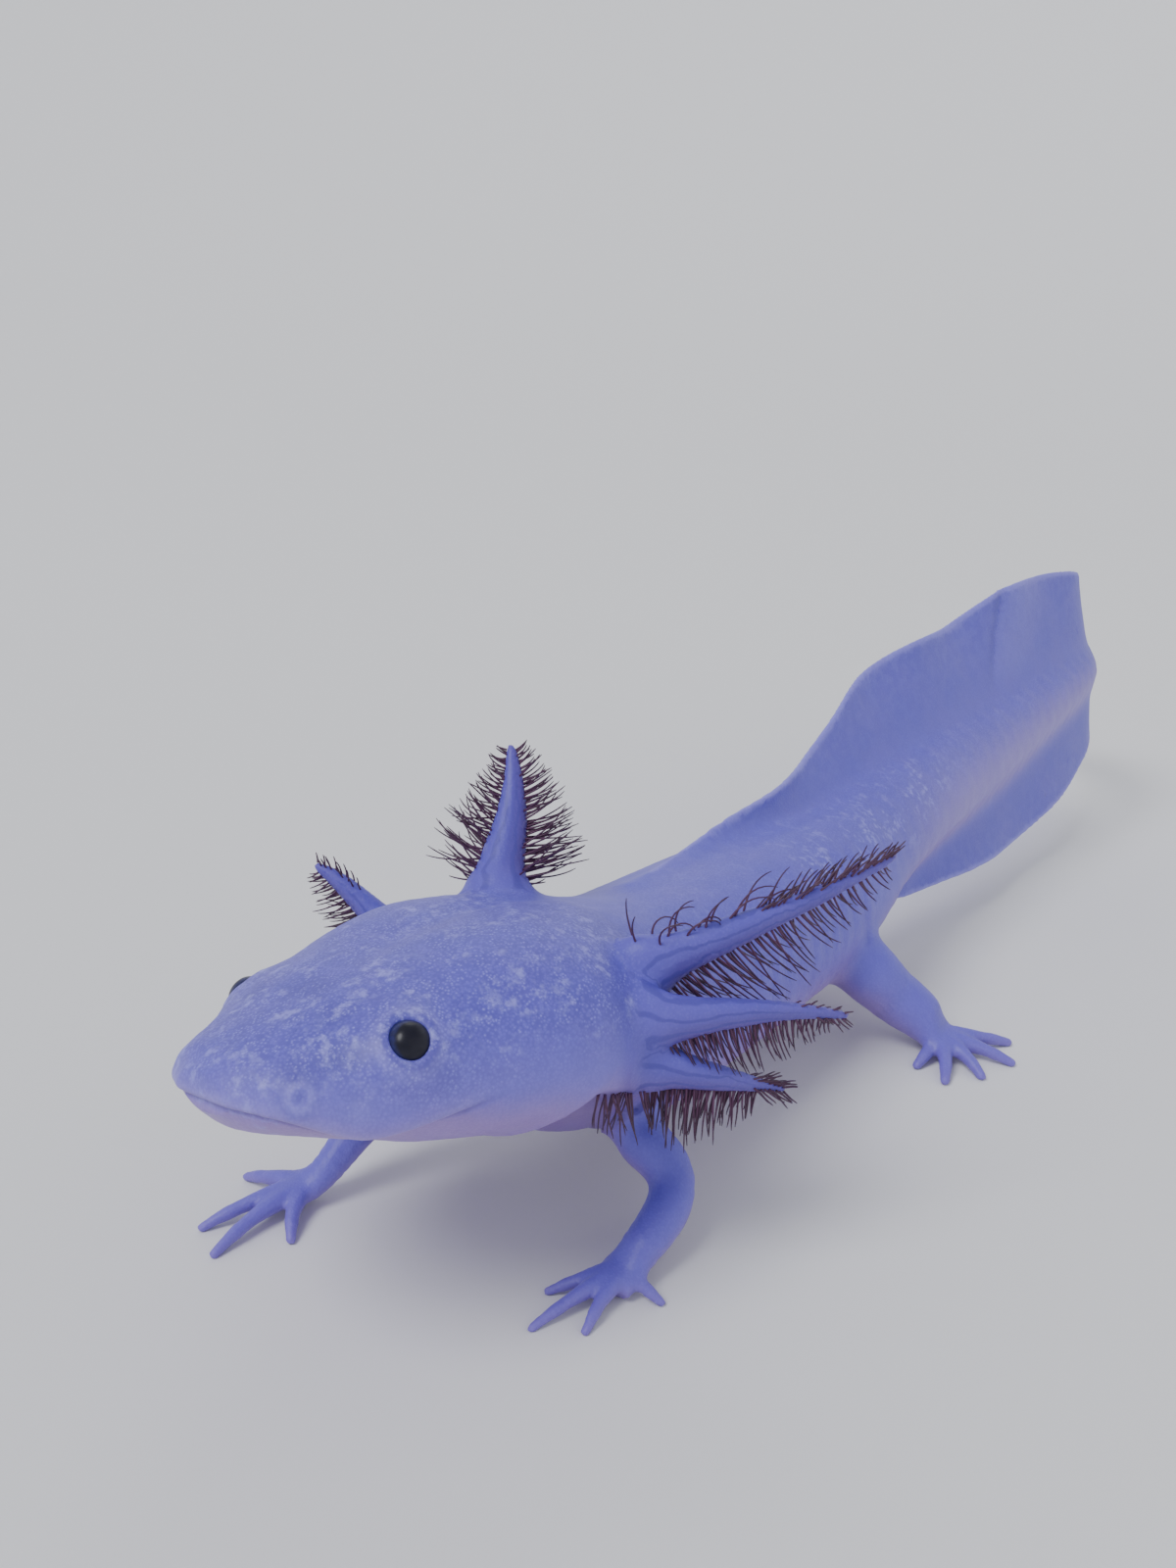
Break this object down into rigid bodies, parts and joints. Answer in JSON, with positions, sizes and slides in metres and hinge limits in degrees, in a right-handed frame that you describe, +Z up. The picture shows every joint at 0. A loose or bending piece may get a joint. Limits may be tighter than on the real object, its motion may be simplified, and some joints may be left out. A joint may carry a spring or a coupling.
{
  "type": "axolotl model",
  "caption": "Blue-violet axolotl, as under a blue tank lamp, with feathery dark purplish-red gills, black eyes and a tall finned tail, standing on short legs with its head raised.",
  "frame": {"origin": "on the floor, under the middle of the whole model's box", "axes": "+Z up, the snout points along -Y, the animal's left side is +X, and the tail runs along +Y"},
  "size_m": [0.0474, 0.1692, 0.0377],
  "materials": {
    "skin": "soft satin blue-violet skin, more violet on the jaw and belly, faintly mottled and speckled with pale flecks on the crown and flanks",
    "fin": "thin satin blue-violet fin, paler at its rim",
    "gill": "satin blue-violet gill stalk, darker veined",
    "gill_filaments": "soft dark purplish-red filaments",
    "eye": "polished black eye with a dark blue edge"
  },
  "bodies": {
    "root": {"head": "skin", "lower_jaw": "skin", "neck": "skin", "trunk_front": "skin", "trunk_rear": "skin", "tail_base": "skin", "tail_mid": "skin", "tail_tip": "skin", "leg_front_left_upper": "skin", "leg_front_left_lower": "skin", "leg_front_left_foot": "skin", "leg_front_right_upper": "skin", "leg_front_right_lower": "skin", "leg_front_right_foot": "skin", "leg_hind_left_upper": "skin", "leg_hind_left_lower": "skin", "leg_hind_left_foot": "skin", "leg_hind_right_upper": "skin", "leg_hind_right_lower": "skin", "leg_hind_right_foot": "skin", "back_fin": "fin", "tail_fin_top_base": "fin", "tail_fin_top_mid": "fin", "tail_fin_top_tip": "fin", "tail_fin_low_base": "fin", "tail_fin_low_mid": "fin", "tail_fin_low_tip": "fin", "gill_left_upper": "gill", "gill_left_upper_fringe": "gill_filaments", "gill_left_middle": "gill", "gill_left_middle_fringe": "gill_filaments", "gill_left_lower": "gill", "gill_left_lower_fringe": "gill_filaments", "gill_right_upper": "gill", "gill_right_upper_fringe": "gill_filaments", "gill_right_middle": "gill", "gill_right_middle_fringe": "gill_filaments", "gill_right_lower": "gill", "gill_right_lower_fringe": "gill_filaments", "eye_left": "eye", "eye_right": "eye"}
  },
  "joints": []
}
